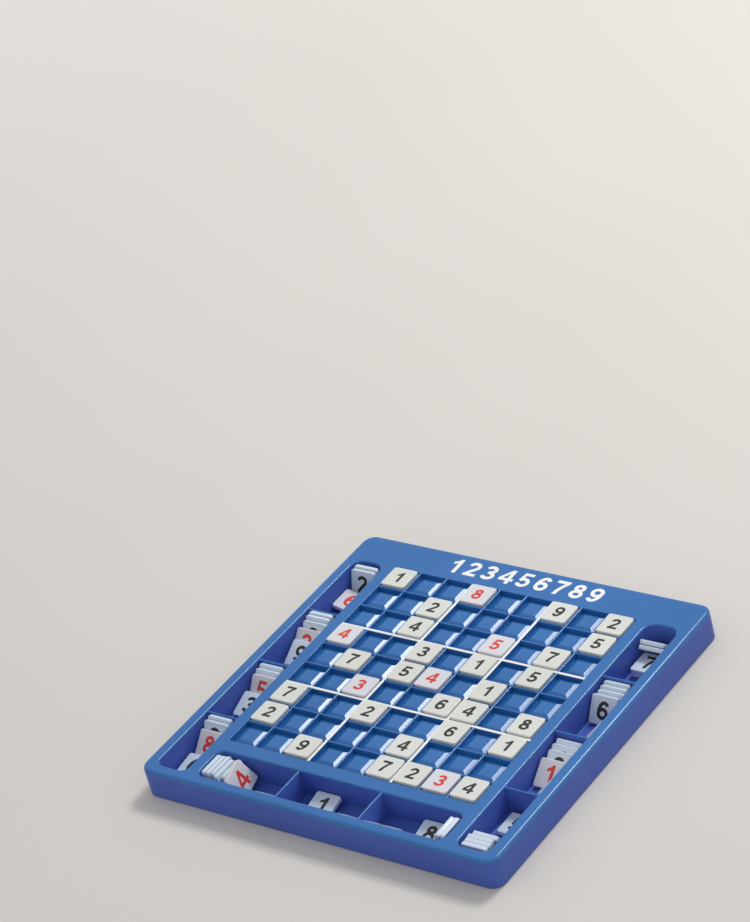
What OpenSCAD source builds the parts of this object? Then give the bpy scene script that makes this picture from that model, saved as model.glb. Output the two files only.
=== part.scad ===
// Sudoku board: a blue moulded tray with nine by nine shallow cells, four storage bins down each side,
// three along the front, and loose number tiles. Millimetres, +Z up, +Y towards the header.
// The origin is on the table under the middle of the tray.

/* [Play field] */
// Distance from one cell to the next
pitch = 20; // [17:0.5:26]
// Width of the thin ridges between cells
ridge_w = 1.2; // [0.8:0.1:1.6]
// Width of the white ridges between boxes of nine cells
box_ridge_w = 1.8; // [1.6:0.1:3]
// Depth from the ridge tops down to a cell's pad
seat_depth = 1.5; // [0.8:0.1:2.4]
// Height of a pad above the gutter around it
pad_h = 2; // [1:0.1:3]
// Side of a pad's flat top, which a tile rests and tips on
pad_top = 10; // [6:0.5:12]
// Width of the flat gutter around a pad's foot
gutter = 0.4; // [0.2:0.1:1]

/* [Tiles] */
// Thickness of a tile
tile_t = 3; // [2.4:0.1:4]
// Room between a seated tile and a white ridge
tile_play = 0.3; // [0.2:0.05:0.6]
// Corner radius of a tile
tile_r = 1.6; // [0.8:0.1:2.5]
// Air between stored tiles and what they rest on
rest_gap = 0.2; // [0.1:0.05:0.4]

/* [Tray] */
// Height of the tray
tray_h = 20; // [18:0.5:28]
// Thickness of the moulded walls
wall = 2; // [1.2:0.1:2.6]
// Depth of the header behind the field
header_w = 26; // [16:0.5:40]
// Width of the strips between the field and the side bins
strip_w = 8.6; // [6:0.2:14]
// Width of the outer rims beside the side bins
rim_w = 8; // [6:0.2:14]
// Depth of the strip between the field and the front bins
front_strip_w = 9.6; // [6:0.2:14]
// Depth of the rim in front of the front bins
front_rim_w = 7.6; // [6:0.2:14]
// Radius of the tray's four outer corners
corner_r = 8; // [4:0.5:12]

/* [Bins] */
// Room on each side of a tile across a side bin
side_play = 2.45; // [1.8:0.05:4]
// Room on each side of a tile across a front bin
front_play = 3.2; // [3:0.05:5]
// Thickness of the bin floors
floor_t = 2; // [1.2:0.1:3]
// Thickness of the dividers between bins
divider_t = 1.4; // [1:0.1:2.4]
// How far the dividers stop short of the tray's top
divider_drop = 0.5; // [0.2:0.1:2]
// Radius of the side bins' corners at the header
back_corner_r = 8; // [4:0.5:9]
// Radius of the other bin corners
bin_corner_r = 5; // [3:0.5:7]

/* [Hidden] */
$fn = 64;
blue = "#3c76b9";
deep_blue = "#38539f";
white = "#e9ebe4";

cells = 9;
box = 3;
side_bins = 4;
front_bins = 3;
tile_s = pitch - box_ridge_w - 2 * tile_play;
field = cells * pitch - ridge_w;
side_bin_w = tile_s + 2 * side_play;
front_bin_w = tile_s + 2 * front_play;
tray_w = field + 2 * (strip_w + side_bin_w + rim_w);
tray_l = header_w + field + front_strip_w + front_bin_w + front_rim_w;

field_back = tray_l / 2 - header_w;
field_front = field_back - field;
field_mid = (field_back + field_front) / 2;
bin_front = -tray_l / 2 + front_rim_w;
front_bin_back = bin_front + front_bin_w;
strip_x = field / 2 + strip_w;
rim_x = strip_x + side_bin_w;
side_bin_x = (strip_x + rim_x) / 2;
front_bin_y = (bin_front + front_bin_back) / 2;

pad_z = tray_h - seat_depth;
plate_z = pad_z - pad_h;
ridge_h = tray_h - plate_z;
pad_foot = pitch - box_ridge_w - 2 * gutter;

side_run = field_back - bin_front;
side_step = (side_run + divider_t) / side_bins;
front_step = (field + divider_t) / front_bins;
side_bin_l = side_step - divider_t;
front_bin_l = front_step - divider_t;
over = 1;

// The puzzle that is set out on the board, one string per row, a dot for an empty cell
puzzle = [
    "1..8..9.2",
    "..2.....5",
    "..4..5.7.",
    "4..3.1.5.",
    ".7.54.1..",
    "..3..64.8",
    "7..2..6.1",
    "2....4...",
    "..9..7234"
];
seated = [for (r = [1:cells]) for (c = [1:cells]) if (puzzle[r - 1][c - 1] != ".") [r, c]];

// Slope of each stored tile above the bin floor, in degrees, in turn from the wall that they lean on.
// The right bins are the second to the last, because the first holds a heap.
left_lean = [[80, 70], [80, 72, 60, 46, 30], [64, 58, 52, 20], [70, 62, 44, 8]];
right_lean = [[62, 59, 57, 55], [46, 45, 43, 36], [84, 80, 76, 72]];
front_left_lean = [86, 84, 82, 76, 66, 62];
front_right_lean = [80, 72];

// Slope of the tiles that recline on the back wall of a front bin or the outer wall of the first left bin,
// and of those on the near wall of any bin
back_lean = 12;
near_lean = 46;

// Slope of the two tiles that lean over from the header end of the first right bin onto two flat ones
prop_lean = 46;

// Place of the flat tile in the last right bin, from the divider and from the middle of the bin
loose_gap = 3;
loose_shift = 1.3;

// Turn of the foremost tile in the front left bin, in its own plane
tile_spin = 15;

function tile_name(s) = str("tile_r", s[0], "c", s[1]);
function col_x(c) = (c - (cells + 1) / 2) * pitch;
function row_y(r) = field_mid + ((cells + 1) / 2 - r) * pitch;

// Ridge k runs between cells k and k + 1. Every third one is a white one.
function ridge_width(k) = k % box == 0 ? box_ridge_w : ridge_w;
function ridge_at(k) = (k - cells / 2) * pitch;
function cell_low(k) = k == 1 ? -field / 2 : ridge_at(k - 1) + ridge_width(k - 1) / 2;
function cell_high(k) = k == cells ? field / 2 : ridge_at(k) - ridge_width(k) / 2;

// Distance from the wall at which a leaning tile of slope b stands clear of one of slope a that stands at u
function upper_z(a) = tile_s * sin(a) + tile_t * cos(a);
function upper_u(u, a) = u - tile_s * cos(a) + tile_t * sin(a);
function clear_foot(u, a) = u + (tile_t + rest_gap) / sin(a);
function clear_edge(u, a, b) = upper_u(u, a) + (upper_z(a) * cos(b) + rest_gap) / sin(b);
function clear_face(u, a, b) =
    u + tile_s * cos(b) + (tile_t + rest_gap - tile_s * sin(b) * cos(a)) / sin(a);
function next_foot(u, a, b) =
    max(clear_foot(u, a), upper_z(a) <= tile_s * sin(b) ? clear_edge(u, a, b) : clear_face(u, a, b));
function foot(angles, gap, i) =
    i == 0 ? gap + tile_s * cos(angles[0]) : next_foot(foot(angles, gap, i - 1), angles[i - 1], angles[i]);
function stack_front(angles, gap) =
    let (last = len(angles) - 1) foot(angles, gap, last) + tile_t * sin(angles[last]);

// Small sideways shift of the tiles in a stack, and the room that a rounded bin end takes from them
function sway(i, play) = play / 3 * sin(140 * i + 40);
function corner_gap(r, half_w, play) =
    rest_gap + r - sqrt(r * r - pow(max(0, tile_s / 2 + play / 3 - half_w + r), 2));

module box_between(low, high) {
    translate(low) cube(high - low);
}

module rounded_plate(w, l, r, h) {
    linear_extrude(h) {
        square([w - 2 * r, l], center = true);
        square([w, l - 2 * r], center = true);
        for (x = [-1, 1], y = [-1, 1]) translate([x * (w / 2 - r), y * (l / 2 - r)]) circle(r);
    }
}

// A bar of the tray from x0, y0 to x1, y1, hollow from below. Walls close it where end_x or end_y is true.
module bar(x0, y0, x1, y1, end_x, end_y) {
    difference() {
        intersection() {
            rounded_plate(tray_w, tray_l, corner_r, tray_h);
            box_between([x0, y0, 0], [x1, y1, tray_h]);
        }
        intersection() {
            translate([0, 0, -over])
                rounded_plate(tray_w - 2 * wall, tray_l - 2 * wall, corner_r - wall, tray_h - wall + over);
            box_between(
                [end_x ? x0 + wall : x0 - over, end_y ? y0 + wall : y0 - over, -over],
                [end_x ? x1 - wall : x1 + over, end_y ? y1 - wall : y1 + over, tray_h - wall]
            );
        }
    }
}

module header_deck() {
    color(blue) bar(-tray_w / 2, field_back, tray_w / 2, tray_l / 2, true, true);
}

module front_rim() {
    color(blue) bar(-tray_w / 2, -tray_l / 2, tray_w / 2, bin_front, true, true);
}

module left_rim() {
    color(blue) bar(-tray_w / 2, bin_front, -rim_x, field_back, true, false);
}

module right_rim() {
    color(blue) bar(rim_x, bin_front, tray_w / 2, field_back, true, false);
}

module left_strip() {
    color(blue) bar(-strip_x, bin_front, -field / 2, field_back, true, false);
}

module right_strip() {
    color(blue) bar(field / 2, bin_front, strip_x, field_back, true, false);
}

module front_strip() {
    color(blue) bar(-field / 2, front_bin_back, field / 2, field_front, false, true);
}

// Nine trapezoid bars side by side. Crossed with nine more they leave the pads with their four slopes.
module pad_rows() {
    foot_y = pad_foot / 2;
    top_y = pad_top / 2;
    for (r = [1:cells])
        translate([0, (r - (cells + 1) / 2) * pitch, 0])
            rotate([90, 0, 90])
                linear_extrude(field, center = true)
                    polygon([[-foot_y, 0], [foot_y, 0], [top_y, pad_h], [-top_y, pad_h]]);
}

module cell_floor() {
    color(blue) {
        box_between([-field / 2, field_front, plate_z - wall], [field / 2, field_back, plate_z]);
        translate([0, field_mid, plate_z]) intersection() {
            pad_rows();
            rotate(90) pad_rows();
        }
    }
}

// One straight ridge on the cell floor, placed from the middle of the field
module ridge(x0, y0, x1, y1) {
    box_between([x0, field_mid + y0, plate_z], [x1, field_mid + y1, plate_z + ridge_h]);
}

module box_ridges_y() {
    color(white)
        for (k = [box, 2 * box])
            ridge(ridge_at(k) - box_ridge_w / 2, -field / 2, ridge_at(k) + box_ridge_w / 2, field / 2);
}

module box_ridges_x() {
    color(white)
        for (k = [box, 2 * box], first = [1, 1 + box, 1 + 2 * box])
            ridge(
                cell_low(first), ridge_at(k) - box_ridge_w / 2,
                cell_high(first + box - 1), ridge_at(k) + box_ridge_w / 2
            );
}

module thin_ridges_y() {
    color(blue)
        for (k = [1:cells - 1], first = [1, 1 + box, 1 + 2 * box])
            if (k % box != 0)
                ridge(
                    ridge_at(k) - ridge_w / 2, cell_low(first),
                    ridge_at(k) + ridge_w / 2, cell_high(first + box - 1)
                );
}

module thin_ridges_x() {
    color(blue)
        for (k = [1:cells - 1], c = [1:cells])
            if (k % box != 0)
                ridge(cell_low(c), ridge_at(k) - ridge_w / 2, cell_high(c), ridge_at(k) + ridge_w / 2);
}

module bin_floors() {
    color(deep_blue) {
        for (side = [-1, 1])
            translate([side * side_bin_x - side_bin_w / 2, bin_front, 0])
                cube([side_bin_w, side_run, floor_t]);
        box_between([-field / 2, bin_front, 0], [field / 2, front_bin_back, floor_t]);
    }
}

module bin_dividers() {
    divider_h = tray_h - divider_drop - floor_t;
    color(deep_blue) {
        for (side = [-1, 1], k = [1:side_bins - 1])
            translate([side * side_bin_x - side_bin_w / 2, field_back - k * side_step, floor_t])
                cube([side_bin_w, divider_t, divider_h]);
        for (k = [1:front_bins - 1])
            translate([-field / 2 + k * front_step - divider_t, bin_front, floor_t])
                cube([divider_t, front_bin_w, divider_h]);
    }
}

// Fills a square bin corner out to a round one, with the corner at the origin
module corner_fill(r) {
    translate([0, 0, floor_t]) linear_extrude(tray_h - floor_t) difference() {
        square(r);
        translate([r, r]) circle(r);
    }
}

// The four corners of a bin of w by l in plan, whose back corners have the radius back_r
module four_corners(w, l, back_r, front_r) {
    for (flip = [0, 1]) mirror([flip, 0, 0]) {
        translate([-w / 2, -l / 2, 0]) corner_fill(front_r);
        translate([-w / 2, l / 2, 0]) mirror([0, 1, 0]) corner_fill(back_r);
    }
}

module bin_corners() {
    color(deep_blue) {
        for (side = [-1, 1])
            translate([side * side_bin_x, (field_back + bin_front) / 2, 0])
                four_corners(side_bin_w, side_run, back_corner_r, bin_corner_r);
        translate([0, front_bin_y, 0]) four_corners(field, front_bin_w, bin_corner_r, bin_corner_r);
    }
}

module tile() {
    color(white) rounded_plate(tile_s, tile_s, tile_r, tile_t);
}

module seated_tile(s) {
    translate([col_x(s[1]), row_y(s[0]), pad_z]) tile();
}

// One stored tile with its lower edge at y = u and its upper edge leaning back towards y = 0
module leaning_tile(u, angle, shift, spin = 0) {
    half = tile_s / 2 * (cos(spin) + sin(abs(spin)));
    translate([shift, u, rest_gap]) rotate([-angle, 0, 0]) translate([0, -half, 0]) rotate(spin) tile();
}

module flat_tile(u, shift) {
    translate([shift, u, rest_gap]) tile();
}

// Leaning tiles in turn. The first stands in the middle and a turned one too, because it is wider.
module leaning_stack(angles, gap, play, last_spin = 0) {
    last = len(angles) - 1;
    for (i = [0:last]) {
        spin = i == last ? last_spin : 0;
        shift = i == 0 || spin != 0 ? 0 : sway(i, play);
        leaning_tile(foot(angles, gap, i), angles[i], shift, spin);
    }
}

// Bin k of a side, from the floor at its header end, with local +Y running towards the front
module in_side_bin(side, k) {
    translate([side * side_bin_x, field_back - (k - 1) * side_step, floor_t]) rotate(180) children();
}

function side_gap(k) = k == 1 ? corner_gap(back_corner_r, side_bin_w / 2, side_play) : rest_gap;

// One tile at the far end of a side bin that leans on the wall to its right
module on_near_wall(side, k) {
    in_side_bin(side, k)
        translate([-side_bin_w / 2, side_bin_l - rest_gap - tile_s / 2, 0]) rotate(-90)
            leaning_tile(rest_gap + tile_s * cos(near_lean), near_lean, 0);
}

module on_far_wall(side, k, u) {
    in_side_bin(side, k)
        translate([side_bin_w / 2, u, 0]) rotate(90)
            leaning_tile(rest_gap + tile_s * cos(back_lean), back_lean, 0);
}

module stored_side(side, k, angles) {
    in_side_bin(side, k) leaning_stack(angles, side_gap(k), side_play);
}

module stored_left(k) {
    stored_side(-1, k, left_lean[k - 1]);
    if (k == 1) {
        on_far_wall(-1, k, stack_front(left_lean[0], side_gap(1)) + rest_gap + tile_s / 2);
        on_near_wall(-1, k);
    }
}

// The first right bin: two tiles lean over from the header end onto two flat ones
module stored_heap() {
    layer = tile_t + rest_gap;
    prop_u = corner_gap(back_corner_r, side_bin_w / 2, 0) + (layer + tile_t) * sin(prop_lean);
    flat_u = prop_u + (layer + tile_t + rest_gap / cos(prop_lean)) / tan(prop_lean) + tile_s / 2;
    in_side_bin(1, 1) for (i = [0, 1]) {
        translate([0, prop_u, rest_gap]) rotate([prop_lean, 0, 0])
            translate([0, tile_s / 2, i * layer]) tile();
        translate([0, 0, i * layer]) flat_tile(flat_u, 0);
    }
}

// The last right bin: one flat tile behind, and a stack that leans on the front end
module stored_right_end(angles) {
    end_gap = corner_gap(bin_corner_r, side_bin_w / 2, side_play);
    in_side_bin(1, side_bins) flat_tile(loose_gap + tile_s / 2, -loose_shift);
    translate([side_bin_x, bin_front, floor_t]) leaning_stack(angles, end_gap, side_play);
}

module stored_right(k) {
    if (k == 1) stored_heap();
    if (k > 1 && k < side_bins) {
        stored_side(1, k, right_lean[k - 2]);
        on_near_wall(1, k);
    }
    if (k == side_bins) stored_right_end(right_lean[k - 2]);
}

// Front bin k, from the floor at its back left corner, with local +X to the left and local +Y to the front
module in_front_bin(k) {
    translate([-field / 2 + (k - 1) * front_step, front_bin_back, floor_t]) rotate(180) children();
}

module on_back_wall(k, x) {
    in_front_bin(k) translate([-x, 0, 0]) leaning_tile(rest_gap + tile_s * cos(back_lean), back_lean, 0);
}

module on_front_wall(k, x) {
    translate([-field / 2 + (k - 1) * front_step + x, bin_front, floor_t])
        leaning_tile(rest_gap + tile_s * cos(near_lean), near_lean, 0);
}

module stored_front_left() {
    end_gap = corner_gap(bin_corner_r, front_bin_w / 2, front_play);
    translate([-field / 2, front_bin_y, floor_t]) rotate(-90)
        leaning_stack(front_left_lean, end_gap, front_play, tile_spin);
    on_front_wall(1, front_bin_l - rest_gap - tile_s / 2);
}

module stored_front_mid() {
    on_back_wall(2, front_bin_l / 3);
    on_front_wall(2, front_bin_l - rest_gap - tile_s / 2);
}

module stored_front_right() {
    end_gap = corner_gap(bin_corner_r, front_bin_w / 2, front_play);
    taken = stack_front(front_right_lean, end_gap) + rest_gap + tile_s / 2;
    translate([field / 2, front_bin_y, floor_t]) rotate(90)
        leaning_stack(front_right_lean, end_gap, front_play);
    on_back_wall(3, front_bin_l - taken);
    on_front_wall(3, rest_gap + tile_s / 2);
}

module stored_front(k) {
    if (k == 1) stored_front_left();
    if (k == 2) stored_front_mid();
    if (k == 3) stored_front_right();
}

header_deck();
left_rim();
right_rim();
front_rim();
left_strip();
right_strip();
front_strip();
cell_floor();
box_ridges_y();
box_ridges_x();
thin_ridges_y();
thin_ridges_x();
bin_floors();
bin_dividers();
bin_corners();
for (s = seated) seated_tile(s);
for (k = [1:side_bins]) stored_left(k);
for (k = [1:side_bins]) stored_right(k);
for (k = [1:front_bins]) stored_front(k);
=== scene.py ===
import math

import bmesh
import bpy
import numpy as np
from mathutils import Matrix, Vector


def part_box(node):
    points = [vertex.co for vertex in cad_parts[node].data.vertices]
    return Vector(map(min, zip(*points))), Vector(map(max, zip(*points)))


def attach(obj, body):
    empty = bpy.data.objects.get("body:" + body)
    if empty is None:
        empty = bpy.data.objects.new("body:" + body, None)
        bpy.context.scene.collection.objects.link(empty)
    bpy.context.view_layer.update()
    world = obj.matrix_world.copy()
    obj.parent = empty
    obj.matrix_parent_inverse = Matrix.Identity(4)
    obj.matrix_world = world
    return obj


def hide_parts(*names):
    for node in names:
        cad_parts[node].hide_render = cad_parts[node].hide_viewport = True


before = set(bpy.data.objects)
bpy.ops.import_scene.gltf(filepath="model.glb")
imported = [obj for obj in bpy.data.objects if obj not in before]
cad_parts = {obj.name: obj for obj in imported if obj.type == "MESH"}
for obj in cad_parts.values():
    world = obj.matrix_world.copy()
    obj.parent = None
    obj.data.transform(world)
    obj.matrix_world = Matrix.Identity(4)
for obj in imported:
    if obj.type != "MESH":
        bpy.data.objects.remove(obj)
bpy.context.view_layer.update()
scene = bpy.context.scene
scene.view_settings.view_transform = "Standard"
mm = 0.001
print("frame loaded:", len(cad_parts), "nodes")


# small mesh helpers, all in millimetres
def roundRect(box, radii, steps):
    # box is x0, x1, y0, y1; radii go back right, back left, front left, front right
    x0, x1, y0, y1 = box
    points = []
    corners = ((x1, y1, -1, -1, 0), (x0, y1, 1, -1, 90), (x0, y0, 1, 1, 180), (x1, y0, -1, 1, 270))
    for (x, y, sx, sy, start), r in zip(corners, radii):
        for i in range(steps + 1):
            a = math.radians(start + 90 * i / steps)
            points.append((x + sx * r + r * math.cos(a), y + sy * r + r * math.sin(a)))
    return points


def insetRect(box, radii, inset, steps=6):
    x0, x1, y0, y1 = box
    smaller = [max(r - inset, 0.05) for r in radii]
    return roundRect((x0 + inset, x1 - inset, y0 + inset, y1 - inset), smaller, steps)


def addRing(bm, points, z):
    return [bm.verts.new((x, y, z)) for x, y in points]


def bridgeRings(bm, low, high):
    pairs = list(zip(low, high))
    return [bm.faces.new((a, c, d, b)) for (a, b), (c, d) in zip(pairs, pairs[1:] + pairs[:1])]


def sweepRings(bm, box, radii, profile, steps=6):
    # one ring for each (inset, height) of the profile, joined by quads
    rings = [addRing(bm, insetRect(box, radii, inset, steps), z) for inset, z in profile]
    for low, high in zip(rings, rings[1:]):
        bridgeRings(bm, low, high)
    return rings[0], rings[-1]


def ringEdges(bm, ring):
    pairs = [(ring[i], ring[(i + 1) % len(ring)]) for i in range(len(ring))]
    return [bm.edges.get(pair) or bm.edges.new(pair) for pair in pairs]


def makeObject(name, bm, materials, sharpAngle=20):
    for v in bm.verts:
        v.co *= mm
    mesh = bpy.data.meshes.new(name)
    bm.to_mesh(mesh)
    bm.free()
    for material in materials:
        mesh.materials.append(material)
    mesh.shade_smooth()
    mesh.set_sharp_from_angle(angle=math.radians(sharpAngle))
    obj = bpy.data.objects.new(name, mesh)
    scene.collection.objects.link(obj)
    return obj


def newGroup(name, inputs, outputs):
    group = bpy.data.node_groups.new(name, "ShaderNodeTree")
    for label, value in inputs:
        socket = group.interface.new_socket(label, in_out="INPUT", socket_type="NodeSocketFloat")
        socket.default_value = value
    for label in outputs:
        group.interface.new_socket(label, in_out="OUTPUT", socket_type="NodeSocketFloat")
    return group, group.nodes.new("NodeGroupInput"), group.nodes.new("NodeGroupOutput")


def mapRange(nodes, low, high, toLow, toHigh):
    node = nodes.new("ShaderNodeMapRange")
    for label, value in (("From Min", low), ("From Max", high), ("To Min", toLow), ("To Max", toHigh)):
        node.inputs[label].default_value = value
    return node


grainLook = {"fineDetail": 3.0, "slowDetail": 2.0, "toneSpread": (0.32, 0.68)}
markLook = {
    "stretch": (1.0, 0.22, 1.0),
    "turn": (0.0, 0.0, 0.6),
    "patchScale": 24.0,
    "scuffPatches": (0.55, 0.72),    # noise at which the scuffs begin and are full
    "smudgePatches": (0.35, 0.75),
}


def makeMouldGrain():
    # fine texture of a moulded surface, and a slow drift of its tone
    group, source, result = newGroup("mouldGrain", [("Scale", 900.0), ("Drift", 14.0)], ["Height", "Tone"])
    nodes, links = group.nodes, group.links
    place = nodes.new("ShaderNodeTexCoord")
    fine = nodes.new("ShaderNodeTexNoise")
    fine.inputs["Detail"].default_value = grainLook["fineDetail"]
    slow = nodes.new("ShaderNodeTexNoise")
    slow.inputs["Detail"].default_value = grainLook["slowDetail"]
    spread = mapRange(nodes, *grainLook["toneSpread"], 0.0, 1.0)
    for noise, label in ((fine, "Scale"), (slow, "Drift")):
        links.new(place.outputs["Object"], noise.inputs["Vector"])
        links.new(source.outputs[label], noise.inputs["Scale"])
    links.new(fine.outputs["Fac"], result.inputs["Height"])
    links.new(slow.outputs["Fac"], spread.inputs["Value"])
    links.new(spread.outputs["Result"], result.inputs["Tone"])
    return group


def makeHandlingMarks():
    # sparse hairline scuffs, strongest in a few patches
    group, source, result = newGroup("handlingMarks", [("Scale", 55.0), ("Width", 0.012)], ["Scuff", "Smudge"])
    nodes, links = group.nodes, group.links
    place = nodes.new("ShaderNodeTexCoord")
    stretch = nodes.new("ShaderNodeMapping")
    stretch.inputs["Scale"].default_value = markLook["stretch"]
    stretch.inputs["Rotation"].default_value = markLook["turn"]
    lines = nodes.new("ShaderNodeTexVoronoi")
    lines.feature = "DISTANCE_TO_EDGE"
    thin = mapRange(nodes, 0.0, 1.0, 1.0, 0.0)
    patches = nodes.new("ShaderNodeTexNoise")
    patches.inputs["Scale"].default_value = markLook["patchScale"]
    few = mapRange(nodes, *markLook["scuffPatches"], 0.0, 1.0)
    soft = mapRange(nodes, *markLook["smudgePatches"], 0.0, 1.0)
    both = nodes.new("ShaderNodeMath")
    both.operation = "MULTIPLY"
    links.new(place.outputs["Object"], stretch.inputs["Vector"])
    links.new(stretch.outputs["Vector"], lines.inputs["Vector"])
    links.new(source.outputs["Scale"], lines.inputs["Scale"])
    links.new(lines.outputs["Distance"], thin.inputs["Value"])
    links.new(source.outputs["Width"], thin.inputs["From Max"])
    links.new(place.outputs["Object"], patches.inputs["Vector"])
    links.new(patches.outputs["Fac"], few.inputs["Value"])
    links.new(patches.outputs["Fac"], soft.inputs["Value"])
    links.new(thin.outputs["Result"], both.inputs[0])
    links.new(few.outputs["Result"], both.inputs[1])
    links.new(both.outputs["Value"], result.inputs["Scuff"])
    links.new(soft.outputs["Result"], result.inputs["Smudge"])
    return group


mouldGrain = makeMouldGrain()
handlingMarks = makeHandlingMarks()


def mixColour(nodes, links, factor, first, second):
    # the node's colour inputs are numbers 6 and 7, and its colour output is number 2
    node = nodes.new("ShaderNodeMix")
    node.data_type = "RGBA"
    links.new(factor, node.inputs[0])
    for index, value in ((6, first), (7, second)):
        if isinstance(value, tuple):
            node.inputs[index].default_value = (*value, 1.0)
        else:
            links.new(value, node.inputs[index])
    return node.outputs[2]


def makeFinish(name, look):
    material = bpy.data.materials.new(name)
    material.use_nodes = True
    nodes, links = material.node_tree.nodes, material.node_tree.links
    shader = nodes["Principled BSDF"]
    grain = nodes.new("ShaderNodeGroup")
    grain.node_tree = mouldGrain
    grain.inputs["Scale"].default_value = look["grainScale"]
    grain.inputs["Drift"].default_value = look["drift"]
    marks = nodes.new("ShaderNodeGroup")
    marks.node_tree = handlingMarks
    marks.inputs["Scale"].default_value = look["scuffScale"]
    marks.inputs["Width"].default_value = look["scuffWidth"]
    tone = mixColour(nodes, links, grain.outputs["Tone"], look["deep"], look["light"])
    worn = mapRange(nodes, 0.0, 1.0, 0.0, look["wear"])
    links.new(marks.outputs["Scuff"], worn.inputs["Value"])
    colour = mixColour(nodes, links, worn.outputs["Result"], tone, look["worn"])
    links.new(colour, shader.inputs["Base Color"])
    gloss = mapRange(nodes, 0.0, 1.0, look["rough"][0], look["rough"][1])
    links.new(marks.outputs["Smudge"], gloss.inputs["Value"])
    links.new(gloss.outputs["Result"], shader.inputs["Roughness"])
    bump = nodes.new("ShaderNodeBump")
    bump.inputs["Strength"].default_value = look["bump"]
    bump.inputs["Distance"].default_value = 0.1 * mm
    links.new(grain.outputs["Height"], bump.inputs["Height"])
    links.new(bump.outputs["Normal"], shader.inputs["Normal"])
    shader.inputs["Coat Weight"].default_value = look["coat"]
    shader.inputs["Coat Roughness"].default_value = look["coatRough"]
    shader.inputs["Specular IOR Level"].default_value = look["specular"]
    return material


def finish(deep, light, **changes):
    # two tones that drift into each other, and what every finish has unless it says otherwise
    look = {"deep": deep, "light": light, "worn": light, "wear": 0.3, "rough": (0.26, 0.36), "bump": 0.12,
            "coat": 0.1, "coatRough": 0.12, "specular": 0.5, "grainScale": 1100.0, "drift": 12.0,
            "scuffScale": 55.0, "scuffWidth": 0.012}
    look.update(changes)
    return look


finishes = {
    "trayBlue": finish((0.017, 0.128, 0.372), (0.024, 0.150, 0.420), worn=(0.09, 0.26, 0.56),
                       rough=(0.23, 0.28), coat=0.0, specular=0.48, bump=0.03),
    # painted shade: a more violet copy of the tray's blue for the walls, bins and divider flanks, standing in for
    # the shade on them
    "trayPaintedShade": finish((0.060, 0.112, 0.430), (0.070, 0.130, 0.480), worn=(0.14, 0.22, 0.58),
                       rough=(0.38, 0.48), coat=0.0, specular=0.22, bump=0.06),
    "lineWhite": finish((0.78, 0.80, 0.76), (0.86, 0.87, 0.84), worn=(0.60, 0.66, 0.74), wear=0.2, coat=0.0),
    "tileIvory": finish((0.63, 0.645, 0.59), (0.69, 0.70, 0.65), worn=(0.55, 0.56, 0.52),
                        rough=(0.32, 0.42)),
    "tileLilac": finish((0.62, 0.62, 0.66), (0.68, 0.68, 0.71), worn=(0.55, 0.55, 0.57),
                        rough=(0.32, 0.42)),
    # painted shade: a bluer copy of the tiles' white for the stored tiles, standing in for their shade and the
    # blue light the bins throw onto them
    "tilePaintedBinShade": finish((0.55, 0.66, 0.76), (0.62, 0.71, 0.80), worn=(0.50, 0.55, 0.62),
                       rough=(0.32, 0.42)),
    "inkBlack": finish((0.008, 0.011, 0.009), (0.014, 0.018, 0.015), worn=(0.05, 0.05, 0.05),
                       rough=(0.4, 0.5), coat=0.0),
    "inkRed": finish((0.60, 0.035, 0.026), (0.68, 0.050, 0.036), worn=(0.70, 0.2, 0.18),
                     rough=(0.4, 0.5), coat=0.0),
    "tableTop": finish((0.63, 0.60, 0.55), (0.65, 0.62, 0.57), rough=(0.70, 0.74), coat=0.0,
                       specular=0.2, drift=2.0, bump=0.05),
}
surfaces = {name: makeFinish(name, look) for name, look in finishes.items()}
print("finishes made:", len(surfaces))


# the moulded tray, from its corners to its bins
tray = {
    "box": (-128.5, 128.5, -123.0, 123.0),
    "height": 20.0,
    "cornerRadius": 8.0,
    "edgeRound": 2.2,        # rounding along the outer top edge
    "binEdgeRound": 1.1,     # rounding along the top edges of the bins
    "binFootRound": 1.0,     # rounding along their floors
    "lip": 0.3,              # flat border beside a rounding
    "binFloor": 2.0,
    "sideBin": (98.0, 120.5, -115.4, 97.0),
    "frontBin": (-89.4, 89.4, -115.4, -91.4),
    "backCornerRadius": 8.0,
    "binCornerRadius": 5.0,
    "wall": 2.0,
    "rimHollowHalf": 122.0,  # half of the hollow under the front rim
}

cells = {
    "count": 9,
    "pitch": 20.0,
    "middle": 7.6,           # the field's middle lies this far towards the header
    "ridge": 1.2,
    "boxRidge": 1.8,
    "edgeRound": 0.25,
    "border": 0.6,           # flat border round the field
    "gutterHeight": 16.5,
    "padHeight": 18.5,
    "padFoot": 8.7,          # half of the pad's foot
    "padTop": 5.0,           # half of its flat top
    "underside": 14.5,
}
printAndHighlightSlot = 2              # marks the printed white ridges, and the rounded cell edges beside them whose white is partly a painted highlight, until they are a piece of their own


def cellEdges(k):
    # low and high edge of row or column k, counted from 1, from the field's middle
    half = (cells["count"] * cells["pitch"] - cells["ridge"]) / 2
    def ridgeHalf(i):
        return (cells["boxRidge"] if i % 3 == 0 else cells["ridge"]) / 2
    low = -half if k == 1 else (k - 1 - cells["count"] / 2) * cells["pitch"] + ridgeHalf(k - 1)
    high = half if k == cells["count"] else (k - cells["count"] / 2) * cells["pitch"] - ridgeHalf(k)
    return low, high


def roundProfile(radius, top, steps=6):
    # from the wall over the rounded edge onto the flat top, as (inset, height)
    turns = [math.radians(90 * i / steps) for i in range(steps + 1)]
    return [(radius - radius * math.cos(a), top - radius + radius * math.sin(a)) for a in turns]


def binProfile():
    r, top, floor = tray["binEdgeRound"], tray["height"], tray["binFloor"]
    edge = [(-inset, z) for inset, z in reversed(roundProfile(r, top))]
    f, lip = tray["binFootRound"], tray["lip"]
    turns = [math.radians(a) for a in range(0, 91, 15)]
    foot = [(f - f * math.cos(a), floor + f - f * math.sin(a)) for a in turns]
    return [(-r - lip, top)] + edge + foot + [(f + lip, floor)]


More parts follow.
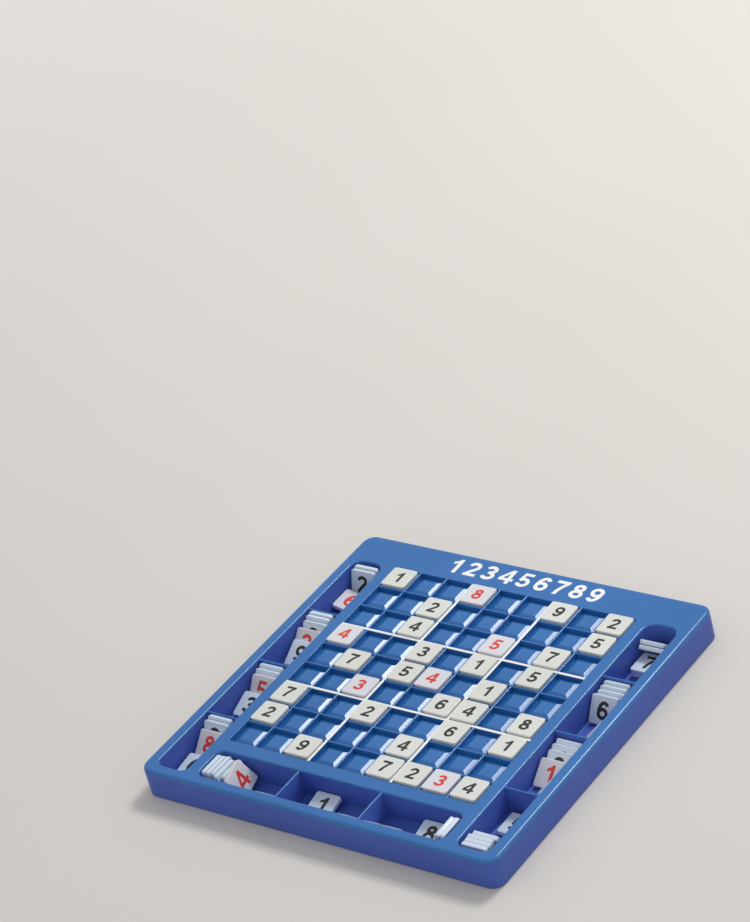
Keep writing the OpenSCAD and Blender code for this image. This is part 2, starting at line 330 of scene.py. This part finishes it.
def addCells(bm):
    e, top = cells["edgeRound"], tray["height"]
    edges = [cellEdges(k) for k in range(1, cells["count"] + 1)]
    border = cells["border"]
    lines = [v for low, high in edges for v in (low - e, high + e)]
    lines = [edges[0][0] - border] + lines + [edges[-1][1] + border]
    mid, count = cells["middle"], len(lines)
    grid = [[bm.verts.new((x, mid + y, top)) for y in lines] for x in lines]
    whiteLines = (6, 12)   # strips of the grid between the boxes of nine
    for i in range(count - 1):
        for j in range(count - 1):
            corners = (grid[i][j], grid[i + 1][j], grid[i + 1][j + 1], grid[i][j + 1])
            if i % 2 and j % 2:
                column, row = i // 2, j // 2
                white = [row in (3, 6), column in (2, 5), row in (2, 5), column in (3, 6)]
                addPocket(bm, corners, edges[column], edges[row], white)
                continue
            face = bm.faces.new(corners)
            inField = 0 < i < count - 2 and 0 < j < count - 2
            if inField and (i in whiteLines or j in whiteLines):
                face.material_index = printAndHighlightSlot
    last = count - 1
    return ([grid[i][0] for i in range(last)] + [grid[last][j] for j in range(last)]
            + [grid[i][last] for i in range(last, 0, -1)] + [grid[0][j] for j in range(last, 0, -1)])


def addPocket(bm, corners, xEdges, yEdges, white):
    # white tells which of the four sides borders on a printed ridge
    (x0, x1), (y0, y1), mid, top = xEdges, yEdges, cells["middle"], tray["height"]
    cx = cells["pitch"] * round((x0 + x1) / 2 / cells["pitch"])
    cy = cells["pitch"] * round((y0 + y1) / 2 / cells["pitch"])
    ring = list(corners)
    e, foot, flat, pad = cells["edgeRound"], cells["padFoot"], cells["padTop"], cells["padHeight"]
    bend, gutter = 0.3 * e, cells["gutterHeight"]
    steps = [(x0 - bend, x1 + bend, y0 - bend, y1 + bend, top - bend), (x0, x1, y0, y1, top - e),
             (x0, x1, y0, y1, gutter)]
    # up the pad's slope and over its softened edge, as (half width, height)
    slope = ((foot, gutter), (flat + 0.45, pad - 0.2), (flat + 0.1, pad - 0.03), (flat - 0.35, pad))
    steps += [(cx - h, cx + h, cy - h, cy + h, z) for h, z in slope]
    for order, (a, b, c, d, z) in enumerate(steps):
        following = addRing(bm, ((a, mid + c), (b, mid + c), (b, mid + d), (a, mid + d)), z)
        for side, face in enumerate(bridgeRings(bm, ring, following)):
            # the rounded edges beside a printed ridge are white as well: print carried over the edge, partly a
            # painted highlight that widens the line
            face.material_index = printAndHighlightSlot if order < 2 and white[side] else 0
        ring = following
    bm.faces.new(ring)


def addUnderside(bm, outer):
    w, (x0, x1, y0, y1) = tray["wall"], tray["box"]
    bx0, bx1, by0, by1 = tray["sideBin"]
    fx0, fx1, fy0, fy1 = tray["frontBin"]
    half, mid, deep = fx1, cells["middle"], tray["height"] - w
    tight, rimHalf = (0.5,) * 4, tray["rimHollowHalf"]
    # box, corner radii and height of each hollow
    hollows = [((x0 + w, x1 - w, by1 + w, y1 - w), (6, 6, 0.5, 0.5), deep),
               ((-rimHalf, rimHalf, y0 + w, by0 - w), (1, 1, 1, 1), deep),
               ((fx0 + w, fx1 - w, fy1 + w, mid - half - w), tight, deep),
               ((-half, half, mid - half, mid + half), tight, cells["underside"])]
    for side in (-1, 1):
        for a, b in ((bx1 + w, x1 - w), (half + w, bx0 - w)):
            left, right = sorted((side * a, side * b))
            hollows.append(((left, right, by0 + w, by1 - w), tight, deep))
    edges = ringEdges(bm, outer)
    for box, radii, z in hollows:
        low, high = sweepRings(bm, box, radii, [(0.0, 0.0), (0.0, z)], steps=4)
        bm.faces.new(high)
        edges += ringEdges(bm, low)
    bmesh.ops.triangle_fill(bm, use_beauty=True, edges=edges)


def makeTray():
    bm = bmesh.new()
    radii = (tray["cornerRadius"],) * 4
    # softened foot, wall, rounded edge and a flat border, as (inset, height)
    foot = [(1.2, 0.0), (0.7, 0.0), (0.35, 0.1), (0.1, 0.35), (0.0, 0.7)]
    edge = roundProfile(tray["edgeRound"], tray["height"])
    profile = foot + edge + [(tray["edgeRound"] + 0.4, tray["height"])]
    outerLow, outerTop = sweepRings(bm, tray["box"], radii, profile)
    topEdges = ringEdges(bm, outerTop)
    bx0, bx1, by0, by1 = tray["sideBin"]
    back, front = tray["backCornerRadius"], tray["binCornerRadius"]
    for box, radii in (((bx0, bx1, by0, by1), (back, back, front, front)),
                       ((-bx1, -bx0, by0, by1), (back, back, front, front)),
                       (tray["frontBin"], (front,) * 4)):
        rim, floor = sweepRings(bm, box, radii, binProfile())
        bm.faces.new(floor)
        topEdges += ringEdges(bm, rim)
    topEdges += ringEdges(bm, addCells(bm))
    bmesh.ops.triangle_fill(bm, use_beauty=True, edges=topEdges)
    addUnderside(bm, outerLow)
    bmesh.ops.recalc_face_normals(bm, faces=bm.faces[:])
    # the walls and bins get a painted shade, a more violet copy of the tray's blue standing in for the shade they
    # lie in; the white ridges become a piece of their own
    fieldEdge = cells["count"] * cells["pitch"] / 2
    for f in bm.faces:
        x, y, z = f.calc_center_median()
        inField = abs(x) < fieldEdge and abs(y - cells["middle"]) < fieldEdge
        if z < tray["height"] - tray["edgeRound"] and not (inField and z > cells["underside"]):
            f.material_index = 1
    lines = bm.copy()
    printed = [f for f in bm.faces if f.material_index == printAndHighlightSlot]
    others = [f for f in lines.faces if f.material_index != printAndHighlightSlot]
    bmesh.ops.delete(bm, geom=printed, context="FACES")
    bmesh.ops.delete(lines, geom=others, context="FACES")
    for f in lines.faces:
        f.material_index = 0
    body = makeObject("trayMoulding", bm, [surfaces["trayBlue"], surfaces["trayPaintedShade"]])
    white = makeObject("boxLinesAndHighlights", lines, [surfaces["lineWhite"]])
    return body, white


trayMoulding, boxLinesAndHighlights = makeTray()
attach(trayMoulding, "tray")
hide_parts("header_deck", "left_rim", "right_rim", "front_rim", "left_strip", "right_strip",
            "front_strip", "cell_floor", "thin_ridges_y", "thin_ridges_x", "bin_floors", "bin_corners")
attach(boxLinesAndHighlights, "tray")
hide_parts("box_ridges_y", "box_ridges_x")
print("tray made:", len(trayMoulding.data.polygons), "faces")


# walls across the bins, with rounded tops
dividers = {"thickness": 1.4, "top": 19.5, "bottom": 1.9, "sideStep": 53.45, "frontStep": 60.0667, "sink": 0.3}


def addDivider(bm, start, end, across):
    # a wall from start to end in plan, its round-topped section laid along the across direction
    h, top, bottom = dividers["thickness"] / 2, dividers["top"], dividers["bottom"]
    section = [(-h, bottom), (-h, top - 0.6), (-0.8 * h, top - 0.2), (-0.4 * h, top),
               (0.4 * h, top), (0.8 * h, top - 0.2), (h, top - 0.6), (h, bottom)]
    ax, ay = across
    rings = [[bm.verts.new((x + ax * s, y + ay * s, z)) for s, z in section] for x, y in (start, end)]
    bridgeRings(bm, *rings)
    for ring in rings:
        bm.faces.new(ring)


def makeDividers():
    bm = bmesh.new()
    bx0, bx1, by0, by1 = tray["sideBin"]
    fx0, fx1, fy0, fy1 = tray["frontBin"]
    half, sink = dividers["thickness"] / 2, dividers["sink"]
    for side in (-1, 1):
        for k in (1, 2, 3):
            y = by1 - k * dividers["sideStep"] + half
            addDivider(bm, (side * bx0 - side * sink, y), (side * bx1 + side * sink, y), (0, 1))
    for k in (1, 2):
        x = fx0 + k * dividers["frontStep"] - half
        addDivider(bm, (x, fy0 - sink), (x, fy1 + sink), (1, 0))
    bmesh.ops.recalc_face_normals(bm, faces=bm.faces[:])
    # the flanks get the painted shade, a more violet copy of the tray's blue, the rounded tops that of the tray's
    # top
    for f in bm.faces:
        f.material_index = 1 if f.calc_center_median().z < dividers["top"] - 0.5 else 0
    return makeObject("binDividers", bm, [surfaces["trayBlue"], surfaces["trayPaintedShade"]], 50)


binDividers = makeDividers()
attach(binDividers, "tray")
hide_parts("bin_dividers")
print("dividers made")


# bold plain digits, one unit high and about 0.8 wide
digitStroke = {"half": 0.097, "steps": 22, "middle": (0.40, 0.5), "layer": 0.005}   # layer in millimetres


def arcPoints(cx, cy, rx, ry, start, end):
    count = digitStroke["steps"]
    turns = [math.radians(start + (end - start) * i / count) for i in range(count + 1)]
    return [(cx + rx * math.cos(a), cy + ry * math.sin(a)) for a in turns]


def strokePath(points, closed=False):
    # quads of even width along a line of points
    half, count = digitStroke["half"], len(points)
    sides = []
    for i, (x, y) in enumerate(points):
        before = points[i - 1] if i or closed else points[i]
        after = points[(i + 1) % count] if i < count - 1 or closed else points[i]
        dx, dy = after[0] - before[0], after[1] - before[1]
        length = math.hypot(dx, dy)
        nx, ny = -dy / length * half, dx / length * half
        sides.append(((x + nx, y + ny), (x - nx, y - ny)))
    pairs = list(zip(sides, sides[1:] + (sides[:1] if closed else [])))
    return [(a[0], a[1], b[1], b[0]) for a, b in pairs]


def bar(x0, y0, x1, y1):
    return [(x0, y0), (x1, y0), (x1, y1), (x0, y1)]


def ringOf(cx, cy, rx, ry):
    return strokePath(arcPoints(cx, cy, rx, ry, 0, 360)[:-1], True)


def drawDigits():
    # each digit is a list of strokes, and a stroke is a list of shapes
    tail = strokePath([(0.155, 0.33), (0.158, 0.46), (0.185, 0.62), (0.24, 0.75), (0.32, 0.85), (0.42, 0.90),
                       (0.53, 0.89), (0.62, 0.82), (0.66, 0.75)])
    six = [ringOf(0.40, 0.325, 0.245, 0.228), tail]
    neck = [(0.50, 0.47), (0.33, 0.30), (0.20, 0.12)]
    two = strokePath(arcPoints(0.40, 0.70, 0.235, 0.203, 175, -30) + neck)
    return {
        1: [[[(0.42, 0), (0.62, 0), (0.62, 1), (0.46, 1), (0.40, 0.90), (0.30, 0.82), (0.18, 0.77), (0.18, 0.60),
              (0.30, 0.64), (0.42, 0.71)]]],
        2: [two, [bar(0.07, 0, 0.74, 0.18)]],
        3: [strokePath(arcPoints(0.37, 0.725, 0.225, 0.178, 165, -85)), [bar(0.27, 0.43, 0.42, 0.59)],
            strokePath(arcPoints(0.37, 0.298, 0.26, 0.201, 85, -165))],
        4: [[[(0.02, 0.385), (0.22, 0.385), (0.46, 0.72), (0.46, 1)], bar(0.46, 0.385, 0.66, 1),
             bar(0.02, 0.21, 0.80, 0.385), bar(0.46, 0, 0.66, 0.21)]],
        5: [[bar(0.16, 0.82, 0.70, 1)], [[(0.09, 0.47), (0.27, 0.50), (0.32, 0.83), (0.15, 0.83)]],
            strokePath(arcPoints(0.37, 0.328, 0.26, 0.231, 150, -160))],
        6: six,
        7: [[[(0.06, 0.81), (0.52, 0.81), (0.76, 0.86), (0.76, 1), (0.06, 1)],
             [(0.21, 0), (0.42, 0), (0.47, 0.30), (0.60, 0.62), (0.76, 0.86), (0.52, 0.81), (0.40, 0.62),
              (0.27, 0.32)]]],
        8: [ringOf(0.40, 0.732, 0.20, 0.171), ringOf(0.40, 0.298, 0.25, 0.201)],
        9: [[[(0.80 - x, 1 - y) for x, y in shape] for shape in stroke] for stroke in six],
    }


digitShapes = drawDigits()


def addDigit(bm, digit, height, place, slot):
    # place maps the digit's plane, with its middle at the origin, onto a surface that faces along its third axis;
    # each stroke lies a little above the last, so that none shares its plane
    facing = (place.to_3x3() @ Vector((0, 0, 1))).normalized()
    midX, midY = digitStroke["middle"]
    for layer, stroke in enumerate(digitShapes[digit]):
        for shape in stroke:
            rise = digitStroke["layer"] * layer
            points = [Vector(((x - midX) * height, (y - midY) * height, rise)) for x, y in shape]
            face = bm.faces.new([bm.verts.new(place @ p) for p in points])
            face.material_index = slot
            face.normal_update()
            if face.normal.dot(facing) < 0:
                face.normal_flip()


# a tile's face and its print both lie just inside the CAD solid
tiles = {"side": 17.6, "thickness": 3.0, "cornerRadius": 1.6, "edgeRound": 0.5, "lip": 0.3, "faceSink": 0.06,
         "inkSink": 0.02, "seatedDigit": 9.4, "storedDigit": 11.2}


def addTile(bm, place, slot):
    s, t = tiles["side"] / 2, tiles["thickness"] / 2 - tiles["faceSink"]
    r = tiles["edgeRound"]
    upper = roundProfile(r, t, 4) + [(r + tiles["lip"], t)]
    profile = [(inset, -z) for inset, z in reversed(upper)] + upper
    start = len(bm.verts)
    firstFace = len(bm.faces)
    low, high = sweepRings(bm, (-s, s, -s, s), (tiles["cornerRadius"],) * 4, profile, steps=5)
    bm.faces.new(low)
    bm.faces.new(high)
    bm.verts.ensure_lookup_table()
    bm.faces.ensure_lookup_table()
    for v in bm.verts[start:]:
        v.co = place @ v.co
    for f in bm.faces[firstFace:]:
        f.material_index = slot


def addTileDigits(bm, digit, red, place, height):
    # the number on the upper face, and the same one in the other colour on the back
    rise = tiles["thickness"] / 2 - tiles["inkSink"]
    front = place @ Matrix.Translation((0, 0, rise))
    back = place @ Matrix.Translation((0, 0, -rise)) @ Matrix.Rotation(math.pi, 4, "Y")
    addDigit(bm, digit, height, front, 1 if red else 0)
    addDigit(bm, digit, height, back, 0 if red else 1)


def dressTiles(node, poses, white):
    # one tile mesh and one ink mesh for a CAD node; poses are (place, digit, red, digit height)
    plates, ink = bmesh.new(), bmesh.new()
    for place, digit, red, height in poses:
        addTile(plates, place, 1 if red else 0)
        addTileDigits(ink, digit, red, place, height)
    bmesh.ops.recalc_face_normals(plates, faces=plates.faces[:])
    plateObject = makeObject("plates." + node, plates, [surfaces[white], surfaces["tileLilac"]], 24)
    inkObject = makeObject("numbers." + node, ink, [surfaces["inkBlack"], surfaces["inkRed"]], 24)
    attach(plateObject, node)
    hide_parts(node)
    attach(inkObject, node)


puzzleRows = ["1..8..9.2", "..2.....5", "..4..5.7.",
              "4..3.1.5.", ".7.54.1..", "..3..64.8",
              "7..2..6.1", "2....4...", "..9..7234"]
redCells = {"r1c4", "r3c6", "r4c1", "r5c5", "r6c3", "r9c8"}
seatedCount = 0
for row, text in enumerate(puzzleRows, 1):
    for column, mark in enumerate(text, 1):
        if mark == ".":
            continue
        cell = f"r{row}c{column}"
        low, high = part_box("tile_" + cell)
        place = Matrix.Translation((low + high) / 2 / mm)
        dressTiles("tile_" + cell, [(place, int(mark), cell in redCells, tiles["seatedDigit"])], "tileIvory")
        seatedCount += 1
print("seated tiles made:", seatedCount)


# stored tiles lie where their CAD solids lie: digits in turn along x or y, with a minus for a red one
storedDigits = {
    "stored_left_1": ("y", [7, 2, -6, 8]),
    "stored_left_2": ("y", [9, 8, 3, -2, 9]),
    "stored_left_3": ("y", [6, 1, -5, 3]),
    "stored_left_4": ("y", [3, 9, -8, 6]),
    "stored_right_1": ("y", [5, 3, 7, 8]),
    "stored_right_2": ("y", [9, 4, 7, 6, -2]),
    "stored_right_3": ("y", [8, 6, 9, -1, 7]),
    "stored_right_4": ("y", [5, 3, 9, 6, 8]),
    "stored_front_1": ("x", [5, 9, 2, 6, 7, -4, 1]),
    "stored_front_2": ("y", [1, 4]),
    "stored_front_3": ("x", [5, 8, 3, 1]),
}


def solidsOf(node):
    # the corner points of each separate solid in a CAD node, in millimetres
    bm = bmesh.new()
    bm.from_mesh(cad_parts[node].data)
    bmesh.ops.remove_doubles(bm, verts=bm.verts[:], dist=1e-6)
    bm.verts.index_update()
    seen, solids = set(), []
    for first in bm.verts:
        if first.index in seen:
            continue
        seen.add(first.index)
        waiting, points = [first], []
        while waiting:
            v = waiting.pop()
            points.append(v.co[:])
            for e in v.link_edges:
                other = e.other_vert(v)
                if other.index not in seen:
                    seen.add(other.index)
                    waiting.append(other)
        solids.append(np.array(points) / mm)
    bm.free()
    return solids


def platePose(points):
    # middle, upright direction and facing of a square plate from its corner points
    axes = np.linalg.eigh(np.cov((points - points.mean(0)).T))[1]
    facing = axes[:, 0] if axes[2, 0] > 0 else -axes[:, 0]
    steep = facing[2] < 0.8   # a steep plate's number stands up, a low one's points to the header
    aim = np.array((0.0, 0.0, 1.0) if steep else (0.0, 1.0, 0.0))
    aim = aim - facing * (aim @ facing)
    aim /= np.linalg.norm(aim)
    across = np.cross(aim, facing)
    best = None
    for step in range(-90, 91):
        a = math.radians(step / 2)
        up = aim * math.cos(a) + across * math.sin(a)
        side = np.cross(up, facing)
        spread = np.ptp(points @ up) + np.ptp(points @ side)
        if best is None or spread < best[0] - 1e-4:
            best = (spread, up, side)
    up, side = best[1], best[2]
    centre = sum(axis * ((points @ axis).max() + (points @ axis).min()) / 2 for axis in (side, up, facing))
    place = Matrix.Identity(4)
    for column, axis in enumerate((side, up, facing, centre)):
        for i in range(3):
            place[i][column] = float(axis[i])
    return place


def turnIn(place, along):
    # where a tile comes in its bin, and the upper of two first
    middle = place.translation
    return round(middle.x if along == "x" else -middle.y, 2), -middle.z


storedCount = 0
for node, (along, digits) in storedDigits.items():
    places = [platePose(points) for points in solidsOf(node)]
    places.sort(key=lambda place: turnIn(place, along))
    poses = [(place, abs(d), d < 0, tiles["storedDigit"]) for place, d in zip(places, digits)]
    # the stored tiles get the bluer painted-shade copy of the tiles' white
    dressTiles(node, poses, "tilePaintedBinShade")
    storedCount += len(places)
print("stored tiles made:", storedCount)


# plain printed numbers on the header, and ejector pin marks in some cells
header = {"height": 13.5, "spacing": 13.0, "middle": 110.5, "lift": 0.03}
pinMarks = {"cells": [(8, 9), (9, 5), (2, 1)], "inner": 0.75, "outer": 1.25, "height": 0.12}


def makeHeaderNumbers():
    bm = bmesh.new()
    for digit in range(1, 10):
        spot = ((digit - 5) * header["spacing"], header["middle"], tray["height"] + header["lift"])
        addDigit(bm, digit, header["height"], Matrix.Translation(spot), 0)
    return makeObject("headerNumbers", bm, [surfaces["lineWhite"]])


def makePinMarks():
    bm = bmesh.new()
    inner, outer, h = pinMarks["inner"], pinMarks["outer"], pinMarks["height"]
    turns = [math.radians(i * 15) for i in range(24)]
    for row, column in pinMarks["cells"]:
        cx = (column - 5) * cells["pitch"]
        cy = cells["middle"] + (5 - row) * cells["pitch"]
        rings = []
        for radius, z in ((inner, 0.0), (inner + 0.1, h), (outer - 0.1, h), (outer, 0.0)):
            circle = [(cx + radius * math.cos(a), cy + radius * math.sin(a)) for a in turns]
            rings.append(addRing(bm, circle, cells["padHeight"] + z))
        for low, high in zip(rings, rings[1:]):
            bridgeRings(bm, low, high)
    bmesh.ops.recalc_face_normals(bm, faces=bm.faces[:])
    return makeObject("pinMarks", bm, [surfaces["trayBlue"]])


headerNumbers = makeHeaderNumbers()
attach(headerNumbers, "tray")
pinRings = makePinMarks()
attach(pinRings, "tray")
print("header numbers and pin marks made")


# table, light and camera, in metres
studio = {
    "tableHalf": 3.0,
    "tableDrop": 0.0002,
    "paleFrom": (0.3, 2.2),
    "paleGlow": 0.36,
    "glowColour": (0.95, 0.92, 0.87),
    "worldColour": (0.95, 0.95, 1.0),
    "worldStrength": 0.66,
    "backdrop": (0.70, 0.675, 0.64),
    "boxFrom": (0.12, 0.59, 0.80),   # direction of the softbox, seen from the board
    "boxDistance": 1.9,
    "boxSize": 0.46,
    "boxPower": 19.0,
}
view = {
    "azimuth": 43.2,
    "elevation": 31.9,
    "roll": -15.4,
    "distance": 2.092,
    "right": -0.03487,
    "up": 0.15072,
    "lensPixels": 3504.0,            # focal length, in pixels of a picture of the height below
    "pictureHeight": 922,
    "sensor": 36.0,
}


def makeTable():
    bm = bmesh.new()
    h = studio["tableHalf"] / mm
    bm.faces.new([bm.verts.new(p) for p in ((-h, -h, 0), (h, -h, 0), (h, h, 0), (-h, h, 0))])
    table = makeObject("tableTop", bm, [surfaces["tableTop"]])
    table.location.z = -studio["tableDrop"]
    keepTablePale(surfaces["tableTop"])


def seenRays(nodes, links):
    # one for what the camera or a reflection sees, nought for light on the board
    rays = nodes.new("ShaderNodeLightPath")
    seen = nodes.new("ShaderNodeMath")
    seen.operation = "MAXIMUM"
    links.new(rays.outputs["Is Camera Ray"], seen.inputs[0])
    links.new(rays.outputs["Is Glossy Ray"], seen.inputs[1])
    return seen.outputs["Value"]


def keepTablePale(material):
    # far from the board, where the softbox no longer reaches, the table stays as pale as it is beside it
    nodes, links = material.node_tree.nodes, material.node_tree.links
    shader = nodes["Principled BSDF"]
    place = nodes.new("ShaderNodeTexCoord")
    away = nodes.new("ShaderNodeVectorMath")
    away.operation = "LENGTH"
    fade = mapRange(nodes, *studio["paleFrom"], 0.0, studio["paleGlow"])
    fade.interpolation_type = "SMOOTHSTEP"
    glow = nodes.new("ShaderNodeMath")
    glow.operation = "MULTIPLY"
    links.new(place.outputs["Object"], away.inputs[0])
    links.new(away.outputs["Value"], fade.inputs["Value"])
    links.new(fade.outputs["Result"], glow.inputs[0])
    links.new(seenRays(nodes, links), glow.inputs[1])
    links.new(glow.outputs["Value"], shader.inputs["Emission Strength"])
    shader.inputs["Emission Color"].default_value = (*studio["glowColour"], 1.0)


def makeLights():
    world = bpy.data.worlds.new("studioAir")
    scene.world = world
    world.use_nodes = True
    sky = world.node_tree.nodes["Background"]
    sky.inputs["Color"].default_value = (*studio["worldColour"], 1.0)
    sky.inputs["Strength"].default_value = studio["worldStrength"]
    # the camera and reflections see a backdrop in the tone of the table
    nodes, links = world.node_tree.nodes, world.node_tree.links
    backdrop = nodes.new("ShaderNodeBackground")
    backdrop.inputs["Color"].default_value = (*studio["backdrop"], 1.0)
    either = nodes.new("ShaderNodeMixShader")
    links.new(seenRays(nodes, links), either.inputs["Fac"])
    links.new(sky.outputs["Background"], either.inputs[1])
    links.new(backdrop.outputs["Background"], either.inputs[2])
    links.new(either.outputs["Shader"], nodes["World Output"].inputs["Surface"])
    lamp = bpy.data.lights.new("softbox", "AREA")
    lamp.shape = "SQUARE"
    lamp.size = studio["boxSize"]
    lamp.energy = studio["boxPower"]
    softbox = bpy.data.objects.new("softbox", lamp)
    scene.collection.objects.link(softbox)
    direction = Vector(studio["boxFrom"]).normalized()
    softbox.location = direction * studio["boxDistance"]
    softbox.rotation_euler = direction.to_track_quat("Z", "Y").to_euler()


def makeCamera():
    az, el, roll = (math.radians(view[k]) for k in ("azimuth", "elevation", "roll"))
    back = Vector((math.sin(az) * math.cos(el), -math.cos(az) * math.cos(el), math.sin(el)))
    level = Vector((math.cos(az), math.sin(az), 0))
    upward = back.cross(level)
    right = level * math.cos(roll) + upward * math.sin(roll)
    up = upward * math.cos(roll) - level * math.sin(roll)
    lens = bpy.data.cameras.new("camera")
    lens.sensor_fit = "VERTICAL"
    lens.sensor_height = view["sensor"]
    lens.lens = view["lensPixels"] / view["pictureHeight"] * view["sensor"]
    lens.clip_start = 0.05
    camera = bpy.data.objects.new("camera", lens)
    scene.collection.objects.link(camera)
    spot = back * view["distance"] + right * view["right"] + up * view["up"]
    camera.matrix_world = Matrix(((right.x, up.x, back.x, spot.x), (right.y, up.y, back.y, spot.y),
                                  (right.z, up.z, back.z, spot.z), (0, 0, 0, 1)))
    scene.camera = camera


makeTable()
makeLights()
makeCamera()
print("table, light and camera made")

bpy.context.view_layer.update()
